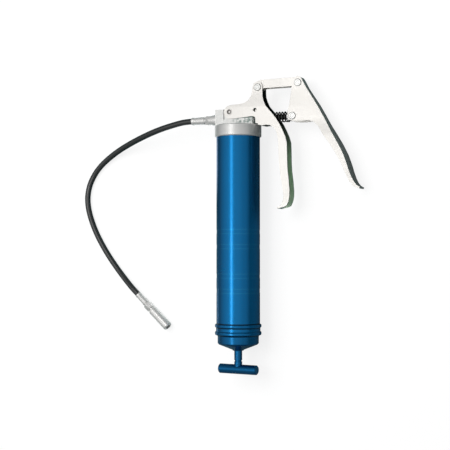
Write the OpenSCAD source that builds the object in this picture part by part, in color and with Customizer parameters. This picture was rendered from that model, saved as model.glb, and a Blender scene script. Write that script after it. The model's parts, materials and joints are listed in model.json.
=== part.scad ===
// Pistol-grip grease gun lying on its side, in millimetres, +Z up.
// Every gun piece is drawn in the gun's own frame: x runs out of the barrel toward the
// lever, y runs along the barrel toward the head, z is square to the grip. rest() then
// leans that frame about the barrel so the head collar and the lever both meet the floor.

/* [Barrel] */
// outside diameter of the grease barrel
barrel_d = 57; // [56:0.5:58]
// wall of the grease barrel
barrel_wall = 1.3; // [1.2:0.1:1.6]
// length of barrel seen below the head collar
barrel_len = 249; // [245:1:255]
// depth of the rolled grip beads
bead_depth = 0.2; // [0.1:0.05:0.4]

/* [Head] */
// outside diameter of the collar that the barrel screws into
collar_d = 61; // [60.5:0.5:62]
// height of the collar
collar_h = 15.3; // [15:0.1:16]
// height of the pump bore above the collar's lower rim
pump_y = 23.8; // [23.5:0.1:24.2]
// thickness of the casting between the frame plates
slab_t = 14.6; // [14:0.1:14.7]

/* [Pump] */
// diameter of the plunger
plunger_d = 7; // [6.5:0.1:7.2]
// outside diameter of the return spring
return_spring_d = 14.2; // [13.6:0.1:14.4]
// wire of the return spring
return_wire = 1.7; // [1.4:0.1:1.8]

/* [Frame and lever] */
// thickness of the pressed plates
plate_t = 1.8; // [1.6:0.1:1.9]
// half the outside width of the frame beside the head
frame_half = 9.2; // [9.2:0.1:9.3]
// half the outside width of the frame's and the lever's forks at the link
fork_half = 7.4; // [7.4:0.1:7.8]
// half the outside width of the frame at the grip
grip_half = 9.3; // [9:0.1:10]
// half the outside width of the lever beside the plunger
cheek_half = 9.2; // [9.2:0.1:9.3]
// half the outside width of the lever's palm
palm_half = 13.3; // [12:0.1:13.5]
// diameter of the three pivot pins
pivot_d = 6; // [5.6:0.1:6.2]
// diameter of the pivot pins' heads
pivot_head_d = 9.6; // [9:0.1:10]

/* [Follower] */
// diameter of the follower rod
rod_d = 10.4; // [10:0.1:10.6]
// diameter of the T-handle's bar
bar_d = 12.5; // [12:0.1:13]
// length of the T-handle's bar
bar_len = 55; // [50:1:60]

/* [Hose and coupler] */
// outside diameter of the hose
hose_d = 8; // [7.5:0.1:8.4]
// outside diameter of the coupler
coupler_d = 12.6; // [12:0.1:12.6]
// diameter of the coupler's mouth
mouth_d = 7; // [6.8:0.1:7.1]

/* [Hidden] */
fine = 96;
small = 48;
eps = 0.01;
run = 0.04;
lean = 6.55;
barrel_r = barrel_d / 2;
barrel_in = barrel_r - barrel_wall;
collar_r = collar_d / 2;
pin_r = pivot_d / 2;
head_pin_r = pivot_head_d / 2;
rod_r = rod_d / 2;
plunger_r = plunger_d / 2;
hose_r = hose_d / 2;
coupler_r = coupler_d / 2;

// where the origin lies: under the middle of the gun's box, on the floor
centre_x = 50.5;
centre_y = -117.6;

// pivots in the plane of the grip
pivot_a = [30, 63.3];
pivot_b = [85, 66.1];
pivot_c = [78, pump_y];

// barrel and cap stations along y
collar_roof = 12.3;
barrel_top = 10;
gasket_t = collar_roof - barrel_top;
cap_y = -(barrel_len - 4.5);

// pump stations along x
boss_x = -29;
slab_end = 33.5;
shoulder_half = 9;
tip_rest = 13;
nut_face = 40.5;
seat_x = 69.5;
inlet_x = 7.5;
seat_ball_x = -7.5;
ball_r = 3.2;
ball_x = seat_ball_x - 2.07;
chamber_r = 4.2;
outlet_stub = -19;

// the outer edge of the lever, from its top to the curl of its tip
lever_back = [[90.5, 70], [96, 59.5], [102.5, 49.5], [110.5, 37], [118, 24],
  [125, 11], [132.5, -2], [140, -15], [146.5, -28], [151, -40.5],
  [154, -50], [157, -57.5], [159.8, -63], [163, -66.9], [167.05, -69.3]];
// the free edge of the lever's flanges, from the tip back to the top
lever_front = [[166.2, -71.2], [161.5, -69.6], [157.3, -67], [153.5, -62], [149, -52.5], [143.5, -39], [136.5, -26.5],
  [128.5, -14], [119.5, -2], [113, 9], [106.5, 14.5], [100, 17],
  [91, 16.5], [79, 16.9], [75.6, 17.9], [73, 20.1], [71.6, 23.3], [71.7, 27],
  [72.3, 32], [73.9, 38.5], [75.5, 50], [76.5, 59], [77, 64], [78, 69.5], [81, 73.3], [85, 74.6], [88.5, 73]];
// half widths of the lever against y
lever_half = [[-74, 10.2], [-62, 10.9], [-50, 12.6], [-42, palm_half], [-10, palm_half],
  [1, 12], [9, 10.2], [18, cheek_half], [34, cheek_half], [56, fork_half], [76, fork_half]];

// the barrel side of the grip frame, from under the head to the curl of its foot
frame_front = [[31.2, 14.4], [36.5, 13.3], [42, 13.8], [47.5, 13.3], [52.5, 10.3],
  [56, 5], [58, -1.5], [58.8, -9], [59.2, -19.5], [59.8, -32.5], [61, -45], [63, -58],
  [65.3, -71], [66.4, -78.5], [65.3, -84], [63.2, -88.8], [60.5, -91.6], [57.2, -93.2]];
// the rest of the frame's outline, from the foot up the grip and round the fork and arm
frame_back = [[57.8, -94.8], [62, -93.6], [67.1, -92.6], [70.5, -90.8], [73, -85],
  [74.2, -79], [74.3, -71], [73.3, -58.5],
  [71.7, -45.5], [71.1, -34], [70.9, -20], [70.5, -9.5], [68.3, -2], [64.8, 6], [60.9, 13.7],
  [55.8, 21.7], [50.9, 27.9], [46.8, 32.5], [41.3, 39], [38.4, 45.7], [36.9, 51],
  [36.6, 57.5], [36.6, 64.5], [34.3, 69.3], [30, 71.3], [25, 69.3], [23, 64.5],
  [22.4, 58], [20.4, 51.8], [17, 46.8], [11.5, 43.6], [3, 42.3], [-7, 42],
  [-12, 40.6], [-15.6, 37.2], [-16.8, 32.8], [-15.6, 28.2], [-12, 24.8], [-7, 23.6],
  [6, 24.5], [23.5, 26], [26.6, 24.8], [27.6, 22.6], [27.8, 16.3], [31, 16.3]];
// half widths of the frame against y
frame_widths = [[-96, grip_half], [-76, grip_half + 0.5], [-40, grip_half], [-6, grip_half],
  [10, frame_half], [38, frame_half], [54, fork_half], [75, fork_half]];

// the rivets that hold the frame to the head
rivet_front = [-9, 32.8];
rivet_rear = [27, 33.8];

// the hose leaves the head on the pump's axis and comes down to the floor
exit_x = -66;
floor_z = hose_r + 0.2;
tail_z = 6.3;
exit_point = at_rest([exit_x, pump_y, 0]);
exit_lead = at_rest([exit_x - 14, pump_y - 0.9, 0]);
route = [exit_point, exit_lead, [-151, 136.7, 39.6], [-169, 133.2, 37], [-187, 129.4, 32.4],
  [-207, 124.8, 25.8], [-228, 119.4, 18.4], [-250, 112.4, 11.4], [-270, 103.4, 7],
  [-288, 91.8, 5], [-301, 78.6, floor_z], [-310, 62.6, floor_z], [-313.5, 45.1, floor_z],
  [-311.5, 27.6, floor_z], [-305.5, 10.1, floor_z], [-297, -7.4, floor_z],
  [-286, -24.9, floor_z], [-273.5, -41.9, floor_z], [-259, -58.9, 4.4], [-245.5, -72.9, 5.2],
  [-234, -83.7, 6.4], [-223.5, -93, tail_z]];
route_steps = 3;
hose_sides = 12;
// direction of the coupler along the floor, in degrees about Z
tail_turn = -41.5;

// a point of the gun's frame as it lies at rest
function at_rest(p) = [
  p[0] * cos(lean) + p[2] * sin(lean) - centre_x,
  p[1] - centre_y,
  collar_r - p[0] * sin(lean) + p[2] * cos(lean)];

// outward unit normal of an open line of points at index i, on the left of its run
function line_normal(pts, i) =
  let(a = pts[max(i - 1, 0)], b = pts[min(i + 1, len(pts) - 1)], d = b - a)
  [-d[1], d[0]] / norm(d);

function shifted(pts, by) = [for (i = [0:len(pts) - 1]) pts[i] + by * line_normal(pts, i)];

function reversed(pts) = [for (i = [len(pts) - 1:-1:0]) pts[i]];

module rest() {
  translate([-centre_x, -centre_y, collar_r])
    rotate([0, lean, 0])
      children();
}

// along y from y0 to y1
module rod_y(r, y0, y1, n = small) {
  translate([0, y1, 0])
    rotate([90, 0, 0])
      cylinder(r = r, h = y1 - y0, $fn = n);
}

// along x from x0 to x1, on the pump's axis
module rod_x(r, x0, x1, n = small) {
  translate([x0, pump_y, 0])
    rotate([0, 90, 0])
      cylinder(r = r, h = x1 - x0, $fn = n);
}

// a cone along x on the pump's axis
module cone_x(r0, r1, x0, x1) {
  translate([x0, pump_y, 0])
    rotate([0, 90, 0])
      cylinder(r1 = r0, r2 = r1, h = x1 - x0, $fn = small);
}

// a ring turned about y from [radius, y] points
module turned(points) {
  rotate([-90, 0, 0])
    rotate_extrude($fn = fine)
      polygon(points);
}

// square to the grip at a point, from -half to half
module across(at, r, half) {
  translate([at[0], at[1], -half])
    cylinder(r = r, h = 2 * half, $fn = small);
}

// a flat outline given a depth square to the grip
module plate(points, half) {
  translate([0, 0, -half])
    linear_extrude(height = 2 * half)
      polygon(points);
}

// everything whose half width at y is within the list, less a margin
module width_mask(widths, less) {
  side = [for (w = widths) [w[0], w[1] - less]];
  other = [for (w = reversed(widths)) [w[0], less - w[1]]];
  translate([-40, 0, 0])
    rotate([90, 0, 90])
      linear_extrude(height = 260)
        polygon(concat(side, other));
}

// a coil about z as one swept mesh
module coil(r, wire, turns, length, per_turn = 18, sides = 6) {
  steps = round(turns * per_turn);
  rings = [for (i = [0:steps])
    let(a = 360 * turns * i / steps, z = wire / 2 + (length - wire) * i / steps)
    [for (k = [0:sides - 1])
      let(b = 360 * k / sides, m = r + wire / 2 * cos(b))
      [m * cos(a), m * sin(a), z + wire / 2 * sin(b)]]];
  swept(rings, sides);
}

// a closed tube of mesh through rings of points
module swept(rings, sides) {
  last = len(rings) - 1;
  points = [for (ring = rings) for (p = ring) p];
  walls = [for (i = [0:last - 1]) for (k = [0:sides - 1])
    let(n = (k + 1) % sides, a = i * sides, b = a + sides)
    each [[a + k, b + k, a + n], [a + n, b + k, b + n]]];
  start = [[for (k = [0:sides - 1]) k]];
  end = [[for (k = [sides - 1:-1:0]) last * sides + k]];
  polyhedron(points = points, faces = concat(start, walls, end), convexity = 10);
}

module barrel() {
  beads = [-124, -143.5, -181.5, -201];
  color([0.06, 0.33, 0.58])
    rest()
      difference() {
        rod_y(barrel_r, -barrel_len, barrel_top, fine);
        rod_y(barrel_in, -barrel_len - 1, barrel_top + 1, fine);
        for (y = beads)
          bead_groove(y);
      }
}

// a shallow rolled groove with sloping sides
module bead_groove(y) {
  turned([[barrel_r + 1, y - 3.4], [barrel_r, y - 2.9], [barrel_r - bead_depth, y - 2.5],
    [barrel_r - bead_depth, y + 2.5], [barrel_r, y + 2.9], [barrel_r + 1, y + 3.4]]);
}

module barrel_gasket() {
  color([0.1, 0.1, 0.1])
    rest()
      difference() {
        rod_y(barrel_r - 0.3, barrel_top, barrel_top + gasket_t, fine);
        rod_y(barrel_in - 3, barrel_top - 1, barrel_top + gasket_t + 1, fine);
      }
}

module head_casting() {
  color([0.75, 0.75, 0.73])
    rest()
      difference() {
        union() {
          turned([[0, 0.0], [collar_r - 1, 0], [collar_r, 1], [collar_r, collar_h - 0.8],
            [collar_r - 0.8, collar_h], [0, collar_h]]);
          translate([-14.5, collar_h - 2, -slab_t / 2])
            cube([slab_end + 14.5 - 4, 38.5 - collar_h, slab_t]);
          translate([slab_end - 6, 17.2, -slab_t / 2])
            cube([6, 36.5 - 17.2, slab_t]);
          translate([boss_x, collar_h - 2, -frame_half])
            cube([-17.2 - boss_x, 36.5 - collar_h + 2, 2 * frame_half]);
          translate([-17.3, collar_h - 2, -slab_t / 2])
            cube([4, 36.5 - collar_h + 2, slab_t]);
          plate([[-17.3, collar_h - 2], [24.4, collar_h - 2], [24.4, 25.3],
            [6, 24], [-7, 23.1], [-17.3, 23.1]], shoulder_half);
        }
        for (s = [-1, 1])
          translate([23.6, collar_h - 0.4, s * 8.8 - 3])
            cube([6.5, 12, 6]);
        rod_y(barrel_r + run, -1, collar_roof, fine);
        translate([inlet_x, 0, 0])
          rod_y(3, collar_roof - 1, pump_y);
        rod_x(plunger_r + run, -3.5, slab_end + 1);
        rod_x(5.2, 27.5, slab_end + 1);
        rod_x(2, seat_ball_x, -3);
        rod_x(chamber_r, outlet_stub, seat_ball_x - 1.8);
        cone_x(chamber_r, 2, seat_ball_x - 1.8 - eps, seat_ball_x + 0.5);
        rod_x(5.2, boss_x - 1, outlet_stub);
        across(rivet_front, 3, 12);
        across(rivet_rear, 2.5, 12);
      }
}

module end_cap() {
  skin = 1.6;
  outer = [[barrel_r, cap_y], [barrel_r + 1.2, cap_y], [barrel_r + 1.9, cap_y - 1],
    [barrel_r + 1.9, cap_y - 3.2], [barrel_r + 1.2, cap_y - 4.2], [barrel_r + 0.5, cap_y - 4.6],
    [barrel_r + 0.5, cap_y - 9.2], [barrel_r + 1.3, cap_y - 9.6], [barrel_r + 1.9, cap_y - 10.6],
    [barrel_r + 1.9, cap_y - 13], [barrel_r + 1.2, cap_y - 14], [27.6, cap_y - 14.8],
    [26.9, cap_y - 16], [26.9, cap_y - 24.8], [25.2, cap_y - 26.6], [7.5, cap_y - 33.6],
    [7, cap_y - 34.6]];
  bore = rod_r + 0.55;
  inner = [[bore, cap_y - 34.6], [bore, cap_y - 30.8], [24, cap_y - 24.4],
    [26.1 - skin, cap_y - 23.5], [26.1 - skin, cap_y - 16], [barrel_in, cap_y - 14],
    [barrel_in, cap_y - 4.5], [barrel_r, cap_y - 4.5]];
  color([0.06, 0.33, 0.58])
    rest()
      turned(concat(outer, inner));
}

module cap_bush() {
  color([0.12, 0.12, 0.12])
    rest()
      turned([[rod_r + run, cap_y - 30.2], [7, cap_y - 30.2], [13, cap_y - 28.1],
        [13, cap_y - 24.5], [rod_r + run, cap_y - 24.5]]);
}

module grip_frame() {
  web = shifted(frame_front, plate_t);
  cavity = concat([[-40, web[0][1]]], web, [[60, -120], [120, -120], [120, 100], [-40, 100]]);
  color([0.86, 0.86, 0.84])
    rest()
      difference() {
        intersection() {
          plate(concat(frame_front, frame_back), 20);
          width_mask(frame_widths, 0);
        }
        intersection() {
          plate(cavity, 19);
          width_mask([for (w = frame_widths) [w[0] * 1.1, w[1]]], plate_t);
        }
        across(pivot_a, pin_r, 20);
        across(rivet_front, 3, 20);
        across(rivet_rear, 2.5, 20);
      }
}

module frame_rivets() {
  reach = frame_half;
  color([0.7, 0.7, 0.7])
    rest() {
      difference() {
        union() {
          across(rivet_front, 3, reach);
          for (s = [-1, 1])
            translate([rivet_front[0], rivet_front[1], s * (reach + 0.4)])
              cylinder(r = 3.9, h = 0.8, center = true, $fn = small);
        }
        for (s = [-1, 1])
          translate([rivet_front[0], rivet_front[1], s * (reach + 0.6)])
            cylinder(r = 1.7, h = 2.4, center = true, $fn = small);
      }
      difference() {
        across(rivet_rear, 2.5, reach - 1.4);
        for (s = [-1, 1])
          translate([rivet_rear[0], rivet_rear[1], s * (reach - 1.4)])
            cylinder(r = 1.6, h = 1.6, center = true, $fn = small);
      }
    }
}

// a pin with a low domed head at each end
module headed_pin(at, half) {
  difference() {
    union() {
      across(at, pin_r, half + 0.5);
      for (s = [-1, 1])
        translate([at[0], at[1], s * half])
          mirror([0, 0, s < 0 ? 1 : 0]) {
            cylinder(r = head_pin_r, h = 0.9, $fn = small);
            translate([0, 0, 0.9])
              cylinder(r1 = head_pin_r, r2 = head_pin_r - 0.9, h = 0.6, $fn = small);
          }
    }
    for (s = [-1, 1])
      translate([at[0], at[1], s * (half + 1.5)])
        cylinder(r = 2.2, h = 0.8, center = true, $fn = small);
  }
}

module link_pin_front() {
  color([0.8, 0.8, 0.8])
    rest()
      headed_pin(pivot_a, fork_half);
}

module link_pin_rear() {
  color([0.8, 0.8, 0.8])
    rest()
      headed_pin(pivot_b, fork_half);
}

module plunger_pin() {
  color([0.8, 0.8, 0.8])
    rest()
      headed_pin(pivot_c, cheek_half);
}

module link_bar() {
  half = fork_half - plate_t - 0.2;
  outline = [[26.5, 67.2], [29, 71.3], [33, 73], [82, 73.6], [85.4, 72.2], [87.6, 70.1],
    [89.1, 67.8], [89.4, 65], [87.8, 62.4], [85.2, 61.6], [76, 62.1], [38, 61.8], [33.5, 58.6], [29, 57.8],
    [25.6, 60], [24.8, 63.5]];
  hollow = [[36, 40], [36, 68.2], [40, 71.2], [75, 71.6], [79, 68.4], [79, 40]];
  color([0.88, 0.88, 0.86])
    rest()
      difference() {
        plate(outline, half);
        plate(hollow, half - plate_t);
        across(pivot_a, pin_r + 0.6, 20);
        across(pivot_b, pin_r + run, 20);
      }
}

module lever() {
  web = shifted(lever_back, -plate_t);
  cavity = concat([[84, 90]], web, [[150, -90], [40, -90], [40, 90]]);
  color([0.88, 0.88, 0.86])
    rest()
      difference() {
        intersection() {
          plate(concat(lever_back, lever_front), 20);
          width_mask(lever_half, 0);
        }
        intersection() {
          plate(cavity, 19);
          width_mask([for (w = lever_half) [w[0] * 1.1, w[1]]], plate_t);
        }
        across(pivot_b, pin_r, 20);
        across(pivot_c, pin_r, 20);
      }
}

module plunger() {
  color([0.7, 0.7, 0.7])
    rest()
      rod_x(plunger_r, tip_rest, pivot_c[0] - 4.5);
}

module plunger_eye() {
  half = cheek_half - plate_t - 0.3;
  color([0.72, 0.72, 0.7])
    rest()
      difference() {
        union() {
          across(pivot_c, 5.2, half);
          translate([seat_x + 1.5, pump_y - 5.2, -half])
            cube([pivot_c[0] - seat_x - 1.5, 10.4, 2 * half]);
        }
        across(pivot_c, pin_r + run, 20);
        rod_x(plunger_r, seat_x, pivot_c[0] - 4.5);
      }
}

module spring_seat() {
  color([0.5, 0.5, 0.5])
    rest()
      difference() {
        rod_x(7.1, seat_x, seat_x + 1.5);
        rod_x(plunger_r, seat_x - 1, seat_x + 3);
      }
}

module return_spring() {
  color([0.1, 0.1, 0.1])
    rest()
      translate([nut_face, pump_y, 0])
        rotate([0, 90, 0])
          coil((return_spring_d - return_wire) / 2, return_wire, 7, seat_x - nut_face);
}

module gland_nut() {
  color([0.75, 0.62, 0.3])
    rest()
      difference() {
        union() {
          rod_x(5.2, 28.5, slab_end);
          rod_x(7.2, slab_end, nut_face - 1, 6);
          rod_x(6.2, nut_face - 1, nut_face);
          rod_x(4.8, nut_face, nut_face + 2);
        }
        rod_x(plunger_r + run, 20, 50);
      }
}

module plunger_packing() {
  color([0.12, 0.12, 0.12])
    rest()
      difference() {
        rod_x(5.2, 27.5, 28.5);
        rod_x(plunger_r + run, 20, 50);
      }
}

module check_ball() {
  color([0.8, 0.8, 0.8])
    rest()
      translate([ball_x, pump_y, 0])
        sphere(r = ball_r, $fn = small);
}

module check_spring() {
  length = ball_x - 2.45 - outlet_stub;
  color([0.6, 0.6, 0.6])
    rest()
      translate([outlet_stub, pump_y, 0])
        rotate([0, 90, 0])
          coil(2.2, 0.6, 4, length, 14, 5);
}

module outlet_adapter() {
  color([0.82, 0.82, 0.8])
    rest()
      difference() {
        union() {
          rod_x(5.2, boss_x, outlet_stub);
          rod_x(7.4, boss_x - 3, boss_x);
          cone_x(5.6, 7.4, -42, boss_x - 3);
          rod_x(6.5, -45, -41.5, 6);
          rod_x(4.2, -47.4, -45);
        }
        rod_x(1.6, -60, 0);
      }
}

module gun_end_ferrule() {
  color([0.86, 0.86, 0.84])
    rest()
      difference() {
        union() {
          cone_x(4.7, 5.3, -63.3, -47.4);
          rod_x(5.1, exit_x, -63.3);
        }
        rod_x(1.6, -80, 0);
      }
}

// a point between the route's points on a smooth curve
function on_route(i, t) =
  let(n = len(route) - 1,
    a = route[max(i - 1, 0)], b = route[i], c = route[min(i + 1, n)], d = route[min(i + 2, n)])
  0.5 * (2 * b + (c - a) * t + (2 * a - 5 * b + 4 * c - d) * t * t
    + (3 * b - a - 3 * c + d) * t * t * t);

// square to the run d: one sideways direction on the level, one upward
function sideways(d) = [-d[1], d[0], 0] / norm([d[0], d[1]]);
function upward(d) = let(v = cross(d, sideways(d))) v / norm(v);

function ring_at(p, d, r, sides) = [for (k = [0:sides - 1])
  let(b = 360 * k / sides)
  p + r * (cos(b) * sideways(d) + sin(b) * upward(d))];

module hose() {
  last = len(route) - 1;
  line = concat([for (i = [0:last - 1]) for (j = [0:route_steps - 1])
    on_route(i, j / route_steps)], [route[last]]);
  n = len(line) - 1;
  tail = [cos(tail_turn), sin(tail_turn), 0];
  head = at_rest([exit_x - 1, pump_y, 0]) - exit_point;
  rings = [for (i = [0:n])
    let(d = i == 0 ? head : i == n ? tail : line[i + 1] - line[i - 1])
    ring_at(line[i], d, hose_r, hose_sides)];
  color([0.08, 0.08, 0.08])
    swept(rings, hose_sides);
}

// the coupler's own frame: z runs from the end of the hose toward the mouth
module tail_end() {
  translate(route[len(route) - 1])
    rotate([0, 0, tail_turn])
      rotate([0, 90, 0])
        children();
}

ferrule_len = 18;
stem_len = 13.5;
body_len = 14;
sleeve_len = 20.5;
body_z = ferrule_len + stem_len;
sleeve_z = body_z + body_len;
mouth_z = sleeve_z + sleeve_len;

module tube(r, hole, z0, z1, n = small) {
  translate([0, 0, z0])
    difference() {
      cylinder(r = r, h = z1 - z0, $fn = n);
      translate([0, 0, -1])
        cylinder(r = hole, h = z1 - z0 + 2, $fn = small);
    }
}

module coupler_end_ferrule() {
  color([0.86, 0.86, 0.84])
    tail_end()
      difference() {
        union() {
          cylinder(r = 4.7, h = 2.6, $fn = small);
          translate([0, 0, 2.6])
            cylinder(r1 = 4.2, r2 = 4.9, h = ferrule_len - 2.6, $fn = small);
        }
        translate([0, 0, -1])
          cylinder(r = 1.6, h = ferrule_len + 2, $fn = small);
      }
}

module coupler_stem() {
  color([0.8, 0.8, 0.78])
    tail_end() {
      difference() {
        union() {
          translate([0, 0, ferrule_len])
            cylinder(r = 3.8, h = 2, $fn = small);
          translate([0, 0, ferrule_len + 2])
            cylinder(r = 6.2, h = 9, $fn = 6);
          translate([0, 0, ferrule_len + 11])
            cylinder(r = 4.4, h = stem_len - 11 + 8, $fn = small);
        }
        translate([0, 0, ferrule_len - 1])
          cylinder(r = 1.6, h = 40, $fn = small);
      }
    }
}

module coupler_body() {
  color([0.78, 0.78, 0.76])
    tail_end()
      difference() {
        union() {
          translate([0, 0, body_z])
            cylinder(r1 = coupler_r - 0.6, r2 = coupler_r, h = 0.8, $fn = small);
          translate([0, 0, body_z + 0.8])
            cylinder(r = coupler_r, h = body_len - 0.8, $fn = small);
          translate([0, 0, sleeve_z - eps])
            cylinder(r = coupler_r - 1, h = 4, $fn = small);
        }
        translate([0, 0, body_z - 1])
          cylinder(r = 4.4, h = 9, $fn = small);
        translate([0, 0, body_z + 7])
          cylinder(r = 2.2, h = 20, $fn = small);
        translate([0, 0, sleeve_z - 3])
          cylinder(r = 3.9, h = 20, $fn = small);
      }
}

module coupler_sleeve() {
  color([0.8, 0.8, 0.78])
    tail_end()
      difference() {
        union() {
          translate([0, 0, sleeve_z])
            cylinder(r = coupler_r, h = sleeve_len - 1.5, $fn = small);
          translate([0, 0, mouth_z - 1.5])
            cylinder(r1 = coupler_r, r2 = coupler_r - 1.1, h = 1.5, $fn = small);
        }
        translate([0, 0, sleeve_z - 1])
          cylinder(r = coupler_r - 1, h = sleeve_len - 3.5, $fn = small);
        translate([0, 0, mouth_z - 5])
          cylinder(r = mouth_d / 2, h = 8, $fn = small);
      }
}

module coupler_jaws() {
  color([0.55, 0.55, 0.55])
    tail_end()
      difference() {
        tube(coupler_r - 1.1, mouth_d / 2 - 0.2, mouth_z - 13.5, mouth_z - 4.7);
        for (a = [0, 120, 240])
          rotate([0, 0, a])
            translate([0, -0.5, mouth_z - 20])
              cube([10, 1, 30]);
      }
}

module coupler_seal() {
  color([0.1, 0.1, 0.1])
    tail_end()
      tube(3.1, 1.4, mouth_z - 13.5, mouth_z - 7.5);
}

module coupler_spring() {
  color([0.6, 0.6, 0.6])
    tail_end()
      translate([0, 0, sleeve_z - 3])
        coil(3, 0.8, 4, mouth_z - 13.5 - sleeve_z + 3, 14, 5);
}

module follower_cup() {
  color([0.12, 0.12, 0.12])
    rest()
      turned([[rod_r + run, -21], [20, -21], [24.5, -18.5], [barrel_in - 0.2, -15.5],
        [barrel_in - run, -16], [barrel_in - run, -31.5], [barrel_in - 1, -33],
        [24.3, -33], [23, -25], [rod_r + run, -25]]);
}

module follower_plates() {
  color([0.7, 0.7, 0.7])
    rest() {
      turned([[rod_r + run, -19.5], [16, -19.5], [16, -21], [rod_r + run, -21]]);
      turned([[rod_r + run, -25], [22.6, -25], [22.6, -26.5], [rod_r + run, -26.5]]);
    }
}

module follower_spring() {
  length = cap_y - 22;
  color([0.35, 0.35, 0.35])
    rest()
      translate([0, -26.5, 0])
        rotate([90, 0, 0])
          coil(20.5, 2.4, 12, -26.5 - length, 20, 6);
}

module follower_rod() {
  groove = -292.5;
  color([0.06, 0.33, 0.58])
    rest()
      difference() {
        union() {
          rod_y(rod_r, -306.5, -20.5 + 1);
          rod_y(rod_r - 1.6, -19.6, -12.5);
        }
        turned([[rod_r + 1, groove - 1], [rod_r - 0.8, groove - 0.8],
          [rod_r - 0.8, groove + 0.8], [rod_r + 1, groove + 1]]);
      }
}

module rod_nut() {
  color([0.7, 0.7, 0.7])
    rest()
      difference() {
        rod_y(7.5, -19.5, -14, 6);
        rod_y(rod_r - 1.6, -30, 0);
      }
}

module t_handle() {
  color([0.06, 0.33, 0.58])
    rest()
      translate([0, -303.5, 0])
        rotate([0, -6, 0])
          difference() {
            rotate([0, 90, 0]) {
              cylinder(r = bar_d / 2, h = bar_len - 2, center = true, $fn = small);
              for (s = [0, 180])
                rotate([s, 0, 0])
                  translate([0, 0, bar_len / 2 - 1])
                    cylinder(r1 = bar_d / 2, r2 = bar_d / 2 - 1, h = 1, $fn = small);
            }
            rod_y(rod_r, -3, 20);
          }
}

barrel();
barrel_gasket();
head_casting();
end_cap();
cap_bush();
grip_frame();
frame_rivets();
link_pin_front();
link_pin_rear();
plunger_pin();
link_bar();
lever();
plunger();
plunger_eye();
spring_seat();
return_spring();
gland_nut();
plunger_packing();
check_ball();
check_spring();
outlet_adapter();
gun_end_ferrule();
hose();
coupler_end_ferrule();
coupler_stem();
coupler_body();
coupler_sleeve();
coupler_jaws();
coupler_seal();
coupler_spring();
follower_cup();
follower_plates();
follower_spring();
follower_rod();
rod_nut();
t_handle();
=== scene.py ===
import json
import math

import bpy
from mathutils import Matrix, Vector

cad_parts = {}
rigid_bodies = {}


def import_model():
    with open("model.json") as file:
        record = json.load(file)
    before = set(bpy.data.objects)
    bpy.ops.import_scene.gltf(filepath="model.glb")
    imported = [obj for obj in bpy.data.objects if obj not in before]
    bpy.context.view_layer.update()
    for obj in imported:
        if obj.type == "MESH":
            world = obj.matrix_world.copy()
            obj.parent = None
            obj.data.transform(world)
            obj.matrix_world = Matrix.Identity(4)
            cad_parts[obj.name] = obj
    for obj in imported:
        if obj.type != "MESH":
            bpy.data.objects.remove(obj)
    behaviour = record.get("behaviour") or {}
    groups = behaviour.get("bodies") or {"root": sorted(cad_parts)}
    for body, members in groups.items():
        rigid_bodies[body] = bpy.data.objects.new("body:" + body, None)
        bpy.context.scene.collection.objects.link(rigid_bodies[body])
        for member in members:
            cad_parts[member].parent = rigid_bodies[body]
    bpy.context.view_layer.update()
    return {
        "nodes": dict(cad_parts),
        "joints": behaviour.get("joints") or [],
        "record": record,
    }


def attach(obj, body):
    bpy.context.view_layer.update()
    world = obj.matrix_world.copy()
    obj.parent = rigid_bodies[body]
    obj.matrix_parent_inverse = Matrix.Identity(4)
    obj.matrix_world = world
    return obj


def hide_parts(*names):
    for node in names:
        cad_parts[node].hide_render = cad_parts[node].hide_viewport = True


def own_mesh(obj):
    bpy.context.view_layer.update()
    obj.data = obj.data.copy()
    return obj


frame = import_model()
nodes = frame["nodes"]
joints = {joint["name"]: joint for joint in frame["joints"]}

mm = 0.001

# ---------------------------------------------------------------------------
# the gun's own frame: x from the barrel to the lever, y up the barrel to the
# head, z square to the grip, with its zero on the barrel's axis at the collar
# ---------------------------------------------------------------------------

along_pump = -Vector(joints["plunger_stroke"]["axis"]).normalized()
along_barrel = -Vector(joints["barrel_unscrew"]["axis"]).normalized()
off_grip = along_pump.cross(along_barrel).normalized()
collar_rim = Vector(joints["barrel_unscrew"]["pos_m"])
gun_place = Matrix((
    (along_pump.x, along_barrel.x, off_grip.x, collar_rim.x),
    (along_pump.y, along_barrel.y, off_grip.y, collar_rim.y),
    (along_pump.z, along_barrel.z, off_grip.z, collar_rim.z),
    (0, 0, 0, 1)))
lean = math.atan2(off_grip.x, off_grip.z)
pump_height = (Vector(joints["lever_squeeze"]["pos_m"]) - collar_rim).dot(along_barrel)
pump_y = pump_height / mm


def gun_point(x, y, z):
    """A point of the gun's frame, in millimetres, in the row frame in metres."""
    return gun_place @ Vector((x * mm, y * mm, z * mm))


def pump_axis_place(x):
    """Turned pieces are made along z; this stands them on the pump's axis."""
    return (gun_place @ Matrix.Translation((x * mm, pump_height, 0))
            @ Matrix.Rotation(math.radians(90), 4, "Y"))


def barrel_axis_place(y):
    """Turned pieces are made along z; this stands them on the barrel's axis."""
    return (gun_place @ Matrix.Translation((0, y * mm, 0))
            @ Matrix.Rotation(math.radians(-90), 4, "X"))


def turned(x_axis, y_axis, z_axis):
    """The rotation that turns an object's own axes to these three."""
    return Matrix((x_axis, y_axis, z_axis)).transposed().to_quaternion()


# ---------------------------------------------------------------------------
# camera
# ---------------------------------------------------------------------------

camera_range = 1.4
eye_below_collar = 0.1465
aim_left, aim_above = 0.0173, 0.0314
view_swing = lean + math.radians(22)
toward_camera = Vector((math.sin(view_swing), 0, math.cos(view_swing)))
view_right = Vector((math.cos(view_swing), 0, -math.sin(view_swing)))
view_up = Vector((0, 1, 0))
eye_foot = collar_rim - view_up * eye_below_collar

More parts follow.
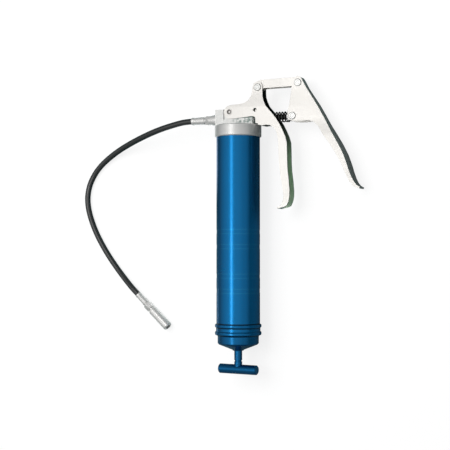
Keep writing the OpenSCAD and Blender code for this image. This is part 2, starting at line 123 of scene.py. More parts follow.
camera_data = bpy.data.cameras.new("studio_camera")
camera = bpy.data.objects.new("studio_camera", camera_data)
bpy.context.scene.collection.objects.link(camera)
camera_data.sensor_width = 36
camera_data.lens = 85.5
camera_data.clip_start = 0.05
camera_data.clip_end = 20
camera.location = eye_foot + toward_camera * camera_range
aim = eye_foot - view_right * aim_left + view_up * aim_above
look = (camera.location - aim).normalized()
camera_right = view_up.cross(look).normalized()
camera_up = look.cross(camera_right).normalized()
camera.rotation_mode = "QUATERNION"
camera.rotation_quaternion = turned(camera_right, camera_up, look)
bpy.context.scene.camera = camera


# ---------------------------------------------------------------------------
# small helpers for modelling and finishing
# ---------------------------------------------------------------------------

def clear_selection():
    """Leave nothing selected."""
    for item in bpy.context.view_layer.objects:
        item.select_set(False)


def take(piece):
    """Select one piece alone and make it the active one."""
    clear_selection()
    piece.select_set(True)
    bpy.context.view_layer.objects.active = piece


def edit_all(piece):
    """Open one piece in edit mode with all of it selected."""
    take(piece)
    bpy.ops.object.mode_set(mode="EDIT")
    bpy.ops.mesh.select_all(action="SELECT")


def leave_edit():
    """Back to object mode."""
    bpy.ops.object.mode_set(mode="OBJECT")


def settle(piece, place):
    """Put the piece where it belongs and write its place into its mesh."""
    take(piece)
    piece.matrix_world = place @ piece.matrix_world
    bpy.ops.object.transform_apply(location=True, rotation=True, scale=True)


def soften(piece, width):
    """Break the sharp edges by a small round."""
    take(piece)
    rounding = piece.modifiers.new("soften", "BEVEL")
    rounding.width = width
    rounding.segments = 2
    rounding.limit_method = "ANGLE"
    rounding.angle_limit = math.radians(35)
    rounding.use_clamp_overlap = True
    bpy.ops.object.modifier_apply(modifier=rounding.name)


def smooth(piece, angle=32):
    """Shade smooth wherever faces meet at less than this many degrees."""
    take(piece)
    bpy.ops.object.shade_smooth_by_angle(angle=math.radians(angle))


def flatten_faces(piece):
    """Let the large faces set the shading, so flats stay flat beside their rounded edges."""
    take(piece)
    weighting = piece.modifiers.new("flat_faces", "WEIGHTED_NORMAL")
    weighting.mode = "FACE_AREA"
    weighting.weight = 80
    weighting.keep_sharp = True
    bpy.ops.object.modifier_apply(modifier=weighting.name)


def finish_off(piece, body, material, node):
    """Give the piece its material and its body, and stand it in for its CAD node."""
    piece.data.materials.clear()
    piece.data.materials.append(material)
    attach(piece, body)
    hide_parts(node)


def body_of_node(node):
    """The moving body that a CAD node belongs to."""
    for body, members in frame["record"]["behaviour"]["bodies"].items():
        if node in members:
            return body


def slot_of_node(node):
    """The material slot that a CAD node is given."""
    for part in frame["record"]["subparts"]:
        if part["node"] == node:
            return part["material_slot"]


def dressed_copy(node, material, width):
    """A copy of a CAD node, merged, with its edges broken and its shading smoothed."""
    source = nodes[node]
    piece = bpy.data.objects.new(node + "_dressed", source.data.copy())
    bpy.context.scene.collection.objects.link(piece)
    edit_all(piece)
    bpy.ops.mesh.remove_doubles(threshold=0.002 * mm)
    bpy.ops.mesh.dissolve_limited(angle_limit=math.radians(0.6))
    leave_edit()
    if width:
        soften(piece, width)
    smooth(piece)
    flatten_faces(piece)
    finish_off(piece, body_of_node(node), material, node)


# ---------------------------------------------------------------------------
# hose: leaves the ferrule along the pump's axis, comes down to the floor
# ---------------------------------------------------------------------------

hose_diameter = 8.0 * mm
hose_start = gun_point(-66, pump_y, 0)
hose_lead = gun_point(-80, 22.9, 0)
hose_route = [hose_start, hose_lead] + [Vector(point) * mm for point in (
    (-151, 136.7, 39.6), (-169, 133.2, 37), (-187, 129.4, 32.4), (-207, 124.8, 25.8),
    (-228, 119.4, 18.4), (-250, 112.4, 11.4), (-270, 103.4, 7), (-288, 91.8, 5),
    (-301, 78.6, 4.2), (-310, 62.6, 4.2), (-313.5, 45.1, 4.2), (-311.5, 27.6, 4.2),
    (-305.5, 10.1, 4.2), (-297, -7.4, 4.2), (-286, -24.9, 4.2), (-273.5, -41.9, 4.2),
    (-259, -58.9, 4.4), (-245.5, -72.9, 5.2), (-234, -83.7, 6.4), (-223.5, -93, 6.3))]


def route_point(index, share):
    """A point on the smooth curve through the route, a share of the way to its next point."""
    last = len(hose_route) - 1
    a = hose_route[max(index - 1, 0)]
    b = hose_route[index]
    c = hose_route[min(index + 1, last)]
    d = hose_route[min(index + 2, last)]
    return 0.5 * (2 * b + (c - a) * share + (2 * a - 5 * b + 4 * c - d) * share ** 2
                  + (3 * b - a - 3 * c + d) * share ** 3)


hose_line = [route_point(i, share / 3) for i in range(len(hose_route) - 1)
             for share in range(3)] + [hose_route[-1]]


def make_hose(material):
    """The hose's cover, swept round its line."""
    curve = bpy.data.curves.new("hose_cover", "CURVE")
    curve.dimensions = "3D"
    curve.bevel_depth = hose_diameter / 2
    curve.bevel_resolution = 6
    curve.resolution_u = 2
    curve.use_fill_caps = True
    line = curve.splines.new("POLY")
    line.points.add(len(hose_line) - 1)
    for spot, at in zip(line.points, hose_line):
        spot.co = (at.x, at.y, at.z, 1)
    piece = bpy.data.objects.new("hose_cover", curve)
    bpy.context.scene.collection.objects.link(piece)
    finish_off(piece, "gun", material, "hose")
    return piece


# ---------------------------------------------------------------------------
# effects that several finishes share
# ---------------------------------------------------------------------------

def effect(name, inputs, outputs):
    """A shader node group with named inputs and outputs."""
    group = bpy.data.node_groups.new(name, "ShaderNodeTree")
    for label, kind, value in inputs:
        socket = group.interface.new_socket(name=label, in_out="INPUT", socket_type=kind)
        if value is not None:
            socket.default_value = value
    for label, kind in outputs:
        group.interface.new_socket(name=label, in_out="OUTPUT", socket_type=kind)
    return group, group.nodes.new("NodeGroupInput"), group.nodes.new("NodeGroupOutput")


def put(tree, kind, **settings):
    """A new node with its inputs and settings filled in."""
    node = tree.nodes.new(kind)
    for key, value in settings.items():
        if key in node.inputs.keys():
            node.inputs[key].default_value = value
        else:
            setattr(node, key, value)
    return node


def ramp(tree, source, low, high):
    """Straight-line remap of a value from low..high to 0..1."""
    node = put(tree, "ShaderNodeMapRange", clamp=True)
    tree.links.new(source, node.inputs["Value"])
    node.inputs["From Min"].default_value = low
    node.inputs["From Max"].default_value = high
    return node.outputs["Result"]


def work_out(tree, operation, *terms):
    """The result of one sum on values and constants."""
    node = put(tree, "ShaderNodeMath", operation=operation)
    for socket, term in zip(node.inputs, terms):
        if isinstance(term, (int, float)):
            socket.default_value = term
        else:
            tree.links.new(term, socket)
    return node.outputs[0]


def multiply(tree, a, b):
    return work_out(tree, "MULTIPLY", a, b)


def add(tree, a, b):
    return work_out(tree, "ADD", a, b)


def size_of(tree, value):
    """A value without its sign."""
    return work_out(tree, "ABSOLUTE", value)


def apart(tree, value, middle):
    """How far a value is from a constant."""
    return size_of(tree, add(tree, value, -middle))


def distance(tree, place, middle):
    """How far a place is from a fixed one."""
    node = put(tree, "ShaderNodeVectorMath", operation="DISTANCE")
    tree.links.new(place, node.inputs[0])
    node.inputs[1].default_value = middle
    return node.outputs["Value"]


def darker(tree, colour, share):
    """A colour brought down to a constant share of itself."""
    node = put(tree, "ShaderNodeVectorMath", operation="SCALE")
    tree.links.new(colour, node.inputs[0])
    node.inputs["Scale"].default_value = share
    return node.outputs["Vector"]


def split(tree, place):
    """The X, Y and Z of a place."""
    node = put(tree, "ShaderNodeSeparateXYZ")
    tree.links.new(place, node.inputs["Vector"])
    return node.outputs


def build_mottle():
    """Slow cloudy change of tone, with a finer one on top of it."""
    group, into, out = effect(
        "mottle", [("Place", "NodeSocketVector", None), ("Scale", "NodeSocketFloat", 40.0)],
        [("Cloud", "NodeSocketFloat"), ("Fine", "NodeSocketFloat")])
    cloud = put(group, "ShaderNodeTexNoise", Detail=3.0, Roughness=0.55)
    fine = put(group, "ShaderNodeTexNoise", Detail=4.0, Roughness=0.6)
    group.links.new(into.outputs["Place"], cloud.inputs["Vector"])
    group.links.new(into.outputs["Place"], fine.inputs["Vector"])
    group.links.new(into.outputs["Scale"], cloud.inputs["Scale"])
    group.links.new(multiply(group, into.outputs["Scale"], 9.0), fine.inputs["Scale"])
    group.links.new(cloud.outputs["Fac"], out.inputs["Cloud"])
    group.links.new(fine.outputs["Fac"], out.inputs["Fine"])
    return group


def build_scuffs():
    """Sparse short hairline scratches, and worn patches."""
    group, into, out = effect(
        "scuffs", [("Place", "NodeSocketVector", None), ("Scale", "NodeSocketFloat", 60.0)],
        [("Scratches", "NodeSocketFloat"), ("Rubbed", "NodeSocketFloat")])
    stretch = put(group, "ShaderNodeMapping")
    stretch.inputs["Scale"].default_value = (14.0, 0.7, 14.0)
    stretch.inputs["Rotation"].default_value = (0.0, 0.0, 0.35)
    group.links.new(into.outputs["Place"], stretch.inputs["Vector"])
    hairs = put(group, "ShaderNodeTexNoise", Detail=1.0, Roughness=0.4)
    group.links.new(stretch.outputs["Vector"], hairs.inputs["Vector"])
    group.links.new(into.outputs["Scale"], hairs.inputs["Scale"])
    patches = put(group, "ShaderNodeTexNoise", Detail=2.0)
    group.links.new(into.outputs["Place"], patches.inputs["Vector"])
    group.links.new(multiply(group, into.outputs["Scale"], 0.5), patches.inputs["Scale"])
    group.links.new(multiply(group, ramp(group, hairs.outputs["Fac"], 0.7, 0.78),
                             ramp(group, patches.outputs["Fac"], 0.48, 0.62)),
                    out.inputs["Scratches"])
    group.links.new(ramp(group, patches.outputs["Fac"], 0.5, 0.75), out.inputs["Rubbed"])
    return group


def build_tool_marks():
    """Fine turning or rolling lines across one direction."""
    group, into, out = effect(
        "tool_marks", [("Place", "NodeSocketVector", None), ("Scale", "NodeSocketFloat", 400.0)],
        [("Lines", "NodeSocketFloat")])
    stretch = put(group, "ShaderNodeMapping")
    stretch.inputs["Scale"].default_value = (0.03, 1.0, 0.03)
    group.links.new(into.outputs["Place"], stretch.inputs["Vector"])
    lines = put(group, "ShaderNodeTexNoise", Detail=3.0, Roughness=0.7)
    group.links.new(stretch.outputs["Vector"], lines.inputs["Vector"])
    group.links.new(into.outputs["Scale"], lines.inputs["Scale"])
    group.links.new(lines.outputs["Fac"], out.inputs["Lines"])
    return group


mottle = build_mottle()
scuffs = build_scuffs()
tool_marks = build_tool_marks()


# ---------------------------------------------------------------------------
# finishes
# ---------------------------------------------------------------------------

class Finish:
    """One Principled material and the nodes that vary it over the surface."""

    @classmethod
    def over(cls, material):
        """Take up a finished material again, to add to it."""
        same = cls.__new__(cls)
        same.material, same.tree = material, material.node_tree
        same.shader = same.tree.nodes["Principled BSDF"]
        return same

    def __init__(self, name):
        self.material = bpy.data.materials.new(name)
        self.material.use_nodes = True
        self.tree = self.material.node_tree
        self.tree.nodes.clear()
        self.shader = self.tree.nodes.new("ShaderNodeBsdfPrincipled")
        output = self.tree.nodes.new("ShaderNodeOutputMaterial")
        self.tree.links.new(self.shader.outputs["BSDF"], output.inputs["Surface"])
        self.place = self.tree.nodes.new("ShaderNodeTexCoord").outputs["Object"]

    def gun_spot(self):
        """The place on the gun, in its own frame, in metres."""
        back = gun_place.inverted()
        spot = put(self.tree, "ShaderNodeMapping")
        spot.inputs["Rotation"].default_value = back.to_euler()
        spot.inputs["Location"].default_value = back.to_translation()
        whole = put(self.tree, "ShaderNodeTexCoord")
        self.tree.links.new(whole.outputs["Object"], spot.inputs["Vector"])
        return spot.outputs["Vector"]

    def base_colour(self):
        """What feeds the base colour so far."""
        return self.shader.inputs["Base Color"].links[0].from_socket

    def from_axis(self, spot, x, y):
        """Distance in metres from an axis square to the grip."""
        flat = put(self.tree, "ShaderNodeVectorMath", operation="MULTIPLY")
        self.tree.links.new(spot, flat.inputs[0])
        flat.inputs[1].default_value = (1, 1, 0)
        return distance(self.tree, flat.outputs["Vector"], (x * mm, y * mm, 0))

    def facing_grip(self):
        """How far a face looks out square to the grip, from -1 to 1."""
        facing = self.tree.nodes.new("ShaderNodeNewGeometry")
        lean_of = put(self.tree, "ShaderNodeVectorMath", operation="DOT_PRODUCT")
        self.tree.links.new(facing.outputs["Normal"], lean_of.inputs[0])
        lean_of.inputs[1].default_value = off_grip
        return lean_of.outputs["Value"]

    def broad_faces(self, hidden=None):
        """1 on faces square to the grip, 0 on the edges, the sides and hidden faces."""
        broad = ramp(self.tree, size_of(self.tree, self.facing_grip()), 0.75, 0.95)
        if hidden is None:
            return broad
        return multiply(self.tree, broad, ramp(self.tree, hidden, 1.0, 0.0))

    def set(self, **values):
        """Constants on the shader's own sockets, with _ for a space."""
        for key, value in values.items():
            self.shader.inputs[key.replace("_", " ")].default_value = value

    def use(self, group, **values):
        """Place a shared effect on the piece's own coordinates."""
        node = self.tree.nodes.new("ShaderNodeGroup")
        node.node_tree = group
        if "Place" in node.inputs.keys():
            self.tree.links.new(self.place, node.inputs["Place"])
        for key, value in values.items():
            node.inputs[key].default_value = value
        return node.outputs

    def mix(self, share, first, second):
        """The first colour where the share is 0, and the second where it is 1."""
        node = put(self.tree, "ShaderNodeMix", data_type="RGBA")
        self.tree.links.new(share, node.inputs["Factor"])
        for socket, value in ((node.inputs[6], first), (node.inputs[7], second)):
            if isinstance(value, tuple):
                socket.default_value = (*value, 1)
            else:
                self.tree.links.new(value, socket)
        return node.outputs[2]

    def colour(self, source):
        """Feed the base colour."""
        self.tree.links.new(source, self.shader.inputs["Base Color"])

    def vary(self, socket, share, low, high):
        """Drive a socket from low to high as the share goes from 0 to 1."""
        node = put(self.tree, "ShaderNodeMapRange")
        self.tree.links.new(share, node.inputs["Value"])
        node.inputs["To Min"].default_value = low
        node.inputs["To Max"].default_value = high
        self.tree.links.new(node.outputs["Result"], self.shader.inputs[socket])

    def bump(self, *layers):
        """Raise the surface by layers, each of them (height, depth in metres)."""
        normal = None
        for height, depth in layers:
            node = put(self.tree, "ShaderNodeBump", Distance=depth)
            node.inputs["Strength"].default_value = 1.0
            self.tree.links.new(height, node.inputs["Height"])
            if normal is not None:
                self.tree.links.new(normal, node.inputs["Normal"])
            normal = node.outputs["Normal"]
        self.tree.links.new(normal, self.shader.inputs["Normal"])


# places on the gun, in millimetres of its own frame
cap_seams = (-243.9, -249.2, -259.2)
barrel_beads = (-124, -143.5, -181.5, -201)
bead_half = 2.7
front_rivet = (-9, 32.8)
rear_rivet = (27.8, 33.2)


def blue_enamel():
    """Candy-blue enamel over bright steel, glossy, with a faint orange peel, dark in the end
    cap's seams, with painted shade over the cap's lower part, the rod and the handle, and
    painted highlight lines along the barrel's beads."""
    paint = Finish("blue_enamel")
    paint.set(Metallic=0.95, Coat_Weight=0.25, Coat_Roughness=0.08, Coat_IOR=1.5)
    tones = paint.use(mottle, Scale=30.0)
    wear = paint.use(scuffs, Scale=60.0)
    base = paint.mix(tones["Cloud"], (0.001, 0.17, 0.43), (0.001, 0.19, 0.48))
    base = paint.mix(multiply(paint.tree, wear["Scratches"], 0.3), base, (0.03, 0.3, 0.62))
    up_barrel = split(paint.tree, paint.gun_spot())["Y"]
    # painted shade: the end cap below its first rim, the rod and the handle are painted darker
    base = paint.mix(ramp(paint.tree, up_barrel, -250 * mm, -268 * mm), base,
                     darker(paint.tree, base, 0.72))
    for seam in cap_seams:
        near = apart(paint.tree, up_barrel, seam * mm)
        base = paint.mix(ramp(paint.tree, near, 0.9 * mm, 0.4 * mm), base, (0.001, 0.02, 0.04))
    # painted highlight: a light line along each edge of every bead
    for bead in barrel_beads:
        edge = apart(paint.tree, apart(paint.tree, up_barrel, bead * mm), bead_half * mm)
        bead_edge_highlight = multiply(paint.tree, ramp(paint.tree, edge, 0.8 * mm, 0.3 * mm), 0.4)
        base = paint.mix(bead_edge_highlight, base, (0.03, 0.3, 0.55))
    paint.colour(base)
    paint.vary("Roughness", add(paint.tree, tones["Cloud"],
                                multiply(paint.tree, wear["Rubbed"], 0.4)), 0.22, 0.28)
    peel = put(paint.tree, "ShaderNodeTexNoise", Scale=450.0, Detail=1.0)
    paint.tree.links.new(paint.place, peel.inputs["Vector"])
    paint.bump((peel.outputs["Fac"], 0.000002))
    return paint.material


def plated(name, tone, low, high, grain, sheen=1.0, rub=0.5, satin=None):
    """Bright plated metal with a rolled or turned grain and light handling marks: its roughness
    runs from low to high, and satin is how metallic its broad faces stay."""
    metal = Finish(name)
    metal.set(Metallic=sheen)
    tones = metal.use(mottle, Scale=45.0)
    wear = metal.use(scuffs, Scale=70.0)
    lines = metal.use(tool_marks, Scale=grain)
    dark = tuple(value * 0.93 for value in tone)
    base = metal.mix(tones["Cloud"], dark, tone)
    metal.colour(metal.mix(multiply(metal.tree, wear["Scratches"], 0.5), base,
                           tuple(value * 0.62 for value in tone)))
    metal.vary("Roughness", add(metal.tree, multiply(metal.tree, lines["Lines"], 0.7),
                                multiply(metal.tree, wear["Rubbed"], rub)), low, high)
    metal.bump((tones["Fine"], 0.000006), (lines["Lines"], 0.000004))
    if satin:
        metal.vary("Metallic", metal.broad_faces(), sheen, satin)
    return metal.material


def nickel_plate(name):
    """Bright nickel over rolled steel, satin on the broad faces."""
    return plated(name, (0.75, 0.728, 0.695), low=0.28, high=0.44, grain=300.0, sheen=0.93,
                  rub=0.2, satin=0.6)


def frame_nickel():
    """The frame's plating, with painted shade inside its channel: near black behind the fork and
    spring, and a pale green-grey painted reflection down the grip.
    """
    material = nickel_plate("frame_nickel")
    metal = Finish.over(material)
    spot = split(metal.tree, metal.gun_spot())
    inner = ramp(metal.tree, multiply(metal.tree, spot["Z"], metal.facing_grip()),
                 -1 * mm, -3 * mm)
    # painted shade inside the channel: near black behind the fork and spring, and a pale
    # green-grey painted reflection down the grip
    painted_channel_shade = metal.mix(ramp(metal.tree, spot["Y"], -25 * mm, 20 * mm),
                      (0.7, 0.9, 0.7), (0.02, 0.045, 0.035))
    metal.colour(metal.mix(inner, metal.base_colour(), painted_channel_shade))
    metal.vary("Metallic", metal.broad_faces(inner), 0.93, 0.6)
    return material


def rivet_steel():
    """Dull rivet heads: a dark rolled ring round a bright stem, and painted shade round the rear
    rivet's recessed end.
    """
    metal = Finish("rivet_steel")
    metal.set(Metallic=0.8)
    tones = metal.use(mottle, Scale=160.0)
    spot = metal.gun_spot()
    front = metal.from_axis(spot, *front_rivet)
    rear = metal.from_axis(spot, *rear_rivet)
    steel = metal.mix(tones["Cloud"], (0.62, 0.6, 0.57), (0.8, 0.78, 0.75))
    ring = multiply(metal.tree, ramp(metal.tree, front, 1.3 * mm, 1.7 * mm),
                    ramp(metal.tree, front, 3.3 * mm, 2.9 * mm))
    steel = metal.mix(ring, steel, (0.17, 0.16, 0.15))
    # painted shade in the recess round the rear rivet's pin
    sunk_end_shade = multiply(metal.tree, ramp(metal.tree, rear, 1.1 * mm, 1.7 * mm),
                    ramp(metal.tree, rear, 6 * mm, 5.5 * mm))
    metal.colour(metal.mix(sunk_end_shade, steel, (0.03, 0.035, 0.03)))
    metal.vary("Roughness", tones["Fine"], 0.3, 0.5)
    metal.bump((tones["Fine"], 0.00001))
    return metal.material


def cast_alloy():
    """Die-cast alloy: fine turned lines round the collar, and a sandy skin on the block, which
    is worn under the frame's arm, with painted shade along the arm's edge and in its slot."""
    metal = Finish("cast_alloy")
    metal.set(Metallic=0.7)
    tones = metal.use(mottle, Scale=60.0)
    skin = put(metal.tree, "ShaderNodeTexNoise", Scale=1100.0, Detail=3.0, Roughness=0.6)
    metal.tree.links.new(metal.place, skin.inputs["Vector"])
    lines = metal.use(tool_marks, Scale=900.0)
    place = metal.gun_spot()
    spot = split(metal.tree, place)
    block = ramp(metal.tree, spot["Y"], 15.2 * mm, 15.6 * mm)
    base = metal.mix(tones["Cloud"], (0.66, 0.655, 0.64), (0.78, 0.775, 0.76))
    sandy = metal.mix(skin.outputs["Fac"], (0.6, 0.6, 0.585), (0.78, 0.78, 0.76))
    base = metal.mix(block, base, sandy)
    worn = put(metal.tree, "ShaderNodeTexNoise", Scale=260.0, Detail=2.0)
    metal.tree.links.new(place, worn.inputs["Vector"])
    band = multiply(metal.tree, ramp(metal.tree, spot["Y"], 16.5 * mm, 18.5 * mm),
                    ramp(metal.tree, spot["Y"], 27 * mm, 22 * mm))
    under_arm = multiply(metal.tree, ramp(metal.tree, spot["X"], -8 * mm, 4 * mm), band)
    marks = multiply(metal.tree, under_arm, ramp(metal.tree, worn.outputs["Fac"], 0.4, 0.68))
    base = metal.mix(marks, base, (0.12, 0.18, 0.16))
    # painted shade along the frame arm's lower edge
    shade = multiply(metal.tree, ramp(metal.tree, spot["X"], -6 * mm, 0),
                     ramp(metal.tree, spot["Y"], 23.4 * mm, 24.6 * mm))
    base = metal.mix(multiply(metal.tree, shade, block), base, (0.14, 0.19, 0.17))
    # painted shade in the slot between the block and the frame
    slot = ramp(metal.tree, spot["X"], 24.2 * mm, 24.9 * mm)
    metal.colour(metal.mix(multiply(metal.tree, slot, block), base, (0.012, 0.03, 0.025)))
    metal.vary("Roughness", add(metal.tree, multiply(metal.tree, lines["Lines"], 0.6),
                                multiply(metal.tree, block, 0.3)), 0.28, 0.5)
    metal.bump((multiply(metal.tree, skin.outputs["Fac"], block), 0.00012),
               (lines["Lines"], 0.00002))
    return metal.material


def dark_soft(name, tone, low, high, coat, grain, depth, shine=1.5):
    """Rubber or plastic: dark, with a fine moulded skin and a few dull patches."""
    skin = Finish(name)
    skin.set(Coat_Weight=coat, Coat_Roughness=0.1, Coat_IOR=shine, Specular_IOR_Level=0.25)
    tones = skin.use(mottle, Scale=grain)
    wear = skin.use(scuffs, Scale=140.0)
    light = tuple(value * 1.9 + 0.004 for value in tone)
    skin.colour(skin.mix(add(skin.tree, multiply(skin.tree, tones["Cloud"], 0.6),
                             multiply(skin.tree, wear["Scratches"], 0.5)), tone, light))
    skin.vary("Roughness", add(skin.tree, multiply(skin.tree, tones["Fine"], 0.6),
                               multiply(skin.tree, wear["Rubbed"], 0.5)), low, high)
    skin.bump((tones["Fine"], depth))
    return skin.material


def ground_steel(name):
    """Grey steel with fine grinding lines."""
    return plated(name, (0.55, 0.55, 0.55), low=0.22, high=0.42, grain=1200.0)


def plunger_steel():
    """Ground steel, black where it runs inside the return spring."""
    material = ground_steel("plunger_steel")
    metal = Finish.over(material)
    inside = ramp(metal.tree, split(metal.tree, metal.gun_spot())["X"], 70 * mm, 68 * mm)
    metal.colour(metal.mix(inside, metal.base_colour(), (0.03, 0.032, 0.03)))
    return material


finishes = {
    "blue_enamel": blue_enamel(),
    "cast_aluminium": cast_alloy(),
    "nickel_plate": nickel_plate("nickel_plate"),
    "frame_nickel": frame_nickel(),
    "rivet_steel": rivet_steel(),
    "pin_steel": plated("pin_steel", (0.74, 0.74, 0.72), low=0.22, high=0.4, grain=900.0),
    "ground_steel": ground_steel("ground_steel"),
    "plunger_steel": plunger_steel(),
    "bright_fitting": plated("bright_fitting", (0.92, 0.91, 0.89), low=0.2, high=0.36,
                             grain=1000.0, sheen=0.7),
    "brass": plated("brass", (0.74, 0.54, 0.24), low=0.22, high=0.4, grain=900.0),
    "black_spring": dark_soft("black_spring", (0.012, 0.012, 0.012), low=0.25, high=0.45,
                              coat=0.2, grain=300.0, depth=0.00001),
    "black_rubber": dark_soft("black_rubber", (0.012, 0.012, 0.012), low=0.5, high=0.75,
                              coat=0.0, grain=200.0, depth=0.00004),
    "black_plastic": dark_soft("black_plastic", (0.014, 0.014, 0.015), low=0.35, high=0.55,
                               coat=0.0, grain=250.0, depth=0.00003),
    "hose_rubber": dark_soft("hose_rubber", (0.002, 0.003, 0.003), low=0.4, high=0.55,
                             coat=0.8, grain=120.0, depth=0.000005, shine=2.0),
}

hose = make_hose(finishes["hose_rubber"])


# ---------------------------------------------------------------------------
# springs
# ---------------------------------------------------------------------------

def wound(name, radius, wire, turns, length, place, steps=32):
    """A coil spring swept from a round of wire, with its ends closed."""
    clear_selection()
    bpy.ops.mesh.primitive_circle_add(vertices=12, radius=wire / 2, fill_type="NGON",
                                      location=(radius, 0, wire / 2),
                                      rotation=(math.radians(90), 0, 0))
    piece = bpy.context.active_object
    piece.name = name
    bpy.ops.object.transform_apply(location=True, rotation=True, scale=True)
    edit_all(piece)
    bpy.ops.mesh.delete(type="ONLY_FACE")
    leave_edit()
    winding = piece.modifiers.new("winding", "SCREW")
    winding.axis = "Z"
    winding.iterations = 1
    winding.angle = math.radians(360) * turns
    winding.screw_offset = length - wire
    winding.steps = int(steps * turns)
    winding.render_steps = int(steps * turns)
    winding.use_smooth_shade = True
    bpy.ops.object.modifier_apply(modifier=winding.name)
    edit_all(piece)
    bpy.ops.mesh.select_all(action="DESELECT")
    bpy.ops.mesh.select_non_manifold()
    bpy.ops.mesh.fill_holes(sides=0)
    bpy.ops.mesh.select_all(action="SELECT")
    bpy.ops.mesh.normals_make_consistent(inside=False)
    leave_edit()
    settle(piece, place)
    smooth(piece, 40)
    return piece


def spring(coil, body, finish, node):
    """Stand a wound coil in for its CAD node, with a mesh of its own."""
    finish_off(coil, body, finishes[finish], node)
    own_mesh(coil)


return_foot, return_length, return_pressed = 40.5, 29, 13.5
spring(wound("return_spring_wound", radius=6.25 * mm, wire=1.7 * mm, turns=7,
             length=return_length * mm, place=pump_axis_place(return_foot)),
       "gun", "black_spring", "return_spring")

cap_seat, follower_length, follower_pressed = -266.5, 240, 60
spring(wound("follower_spring_wound", radius=20.5 * mm, wire=2.4 * mm, turns=12,
             length=follower_length * mm, place=barrel_axis_place(cap_seat)),
       "barrel", "black_spring", "follower_spring")

check_foot, check_length, check_pressed = -19, 6.98, 5.78
spring(wound("check_spring_wound", radius=2.2 * mm, wire=0.6 * mm, turns=4,
             length=check_length * mm, place=pump_axis_place(check_foot), steps=20),
       "gun", "ground_steel", "check_spring")


# ---------------------------------------------------------------------------
# the CAD pieces, dressed
# ---------------------------------------------------------------------------

# width of the small round on each piece's edges, in millimetres
edge_round = {
    "barrel": 0.2, "end_cap": 0.2, "follower_rod": 0.2, "t_handle": 0.3,
    "head_casting": 0.5, "grip_frame": 0.45, "lever": 0.45, "link_bar": 0.8,
    "link_pin_front": 0.3, "link_pin_rear": 0.3, "plunger_pin": 0.3,
    "plunger": 0.3, "plunger_eye": 0.4, "spring_seat": 0.25, "follower_plates": 0.2,
    "rod_nut": 0.3, "gland_nut": 0.3, "outlet_adapter": 0.3, "gun_end_ferrule": 0.25,
    "coupler_end_ferrule": 0.25, "coupler_stem": 0.3, "coupler_body": 0.25,
    "coupler_sleeve": 0.25, "coupler_jaws": 0.15, "barrel_gasket": 0.2, "cap_bush": 0.3,
    "plunger_packing": 0.15, "coupler_seal": 0.15, "follower_cup": 0.3, "check_ball": 0,
    "coupler_spring": 0, "frame_rivets": 0.2,
}
own_finish = {"grip_frame": "frame_nickel", "plunger": "plunger_steel",
              "frame_rivets": "rivet_steel"}
for node, width in edge_round.items():
    dressed_copy(node, finishes[own_finish.get(node, slot_of_node(node))], width * mm)


# ---------------------------------------------------------------------------
# floor and light
# ---------------------------------------------------------------------------

# under the outlet and the coupler: where, bright out to, and faded by
bright_spots = (((-0.125, 0.12, 0), 0.05, 0.09), ((-0.215, -0.12, 0), 0.03, 0.055))


def paper():
    """White sheet lit a little from below, which mirrors in metal as a dim surround with
    bright spots."""
    sheet = Finish("studio_paper")
    sheet.set(Roughness=0.9, Specular_IOR_Level=0.0)
    tones = sheet.use(mottle, Scale=3.0)
    white = sheet.mix(tones["Cloud"], (0.18, 0.18, 0.18), (0.19, 0.19, 0.19))
    dim = sheet.mix(ramp(sheet.tree, split(sheet.tree, sheet.place)["Y"], 0.0, 0.03),
                    (0.1, 0.17, 0.17), (0.045, 0.085, 0.085))
    for middle, inner, outer in bright_spots:
        gap = distance(sheet.tree, sheet.place, middle)
        dim = sheet.mix(ramp(sheet.tree, gap, outer, inner), dim, (0.75, 0.78, 0.78))
    ray = sheet.tree.nodes.new("ShaderNodeLightPath")
    sheet.colour(sheet.mix(ray.outputs["Is Glossy Ray"], white, dim))
    glow = sheet.mix(ray.outputs["Is Glossy Ray"], (0.82, 0.82, 0.82), (0.0, 0.0, 0.0))
    sheet.tree.links.new(glow, sheet.shader.inputs["Emission Color"])
    sheet.set(Emission_Strength=1.0)
    return sheet.material


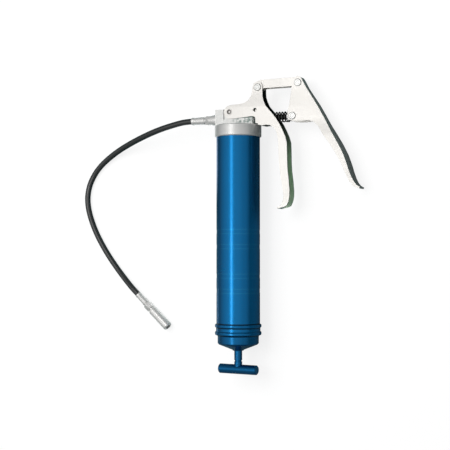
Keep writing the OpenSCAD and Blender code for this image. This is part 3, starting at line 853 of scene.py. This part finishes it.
clear_selection()
bpy.ops.mesh.primitive_plane_add(size=6, location=(0, 0, 0))
floor = bpy.context.active_object
floor.name = "studio_floor"
floor.data.materials.append(paper())


gun_middle = Vector((0, 0, 0.03))


def lamp(name, toward, distance_m, width, height, power, mirrored=True):
    """A soft box that shines on the gun from one side, with its height along the barrel."""
    light = bpy.data.lights.new(name, "AREA")
    light.shape = "RECTANGLE"
    light.size, light.size_y = width, height
    light.energy = power
    holder = bpy.data.objects.new(name, light)
    bpy.context.scene.collection.objects.link(holder)
    away = Vector(toward).normalized()
    holder.location = gun_middle + away * distance_m
    holder.rotation_mode = "QUATERNION"
    across = Vector((0, 1, 0)).cross(away).normalized()
    holder.rotation_quaternion = turned(across, away.cross(across), away)
    holder.visible_glossy = mirrored


lamp("key_box", (-0.16, 0.1, 1.0), distance_m=1.6, width=0.3, height=1.6, power=2.8)
lamp("wash_box", (-0.35, 0.4, 1.0), distance_m=1.9, width=1.6, height=1.6, power=30,
     mirrored=False)
lamp("hot_card", (-0.158, -0.075, 1.0), distance_m=1.59, width=0.16, height=0.3, power=0.35)
lamp("edge_card", (1.0, 0.0, 0.3), distance_m=1.5, width=0.7, height=1.6, power=0.4)


def studio_sky():
    """Bright overhead, and grey toward the horizon and toward both ends of the gun."""
    world = bpy.data.worlds.new("studio")
    bpy.context.scene.world = world
    world.use_nodes = True
    sky = world.node_tree
    direction = split(sky, put(sky, "ShaderNodeTexCoord").outputs["Generated"])
    middle = ramp(sky, size_of(sky, direction["Y"]), 0.5, 0.15)
    band = add(sky, multiply(sky, middle, 0.75), 0.25)
    tone = put(sky, "ShaderNodeMix", data_type="RGBA")
    sky.links.new(multiply(sky, ramp(sky, direction["Z"], 0.1, 0.9), band),
                  tone.inputs["Factor"])
    tone.inputs[6].default_value = (0.22, 0.235, 0.24, 1)
    tone.inputs[7].default_value = (1, 1, 1, 1)
    background = sky.nodes["Background"]
    sky.links.new(tone.outputs[2], background.inputs["Color"])
    background.inputs["Strength"].default_value = 0.72


studio_sky()
bpy.context.scene.view_settings.view_transform = "Standard"

clear_selection()
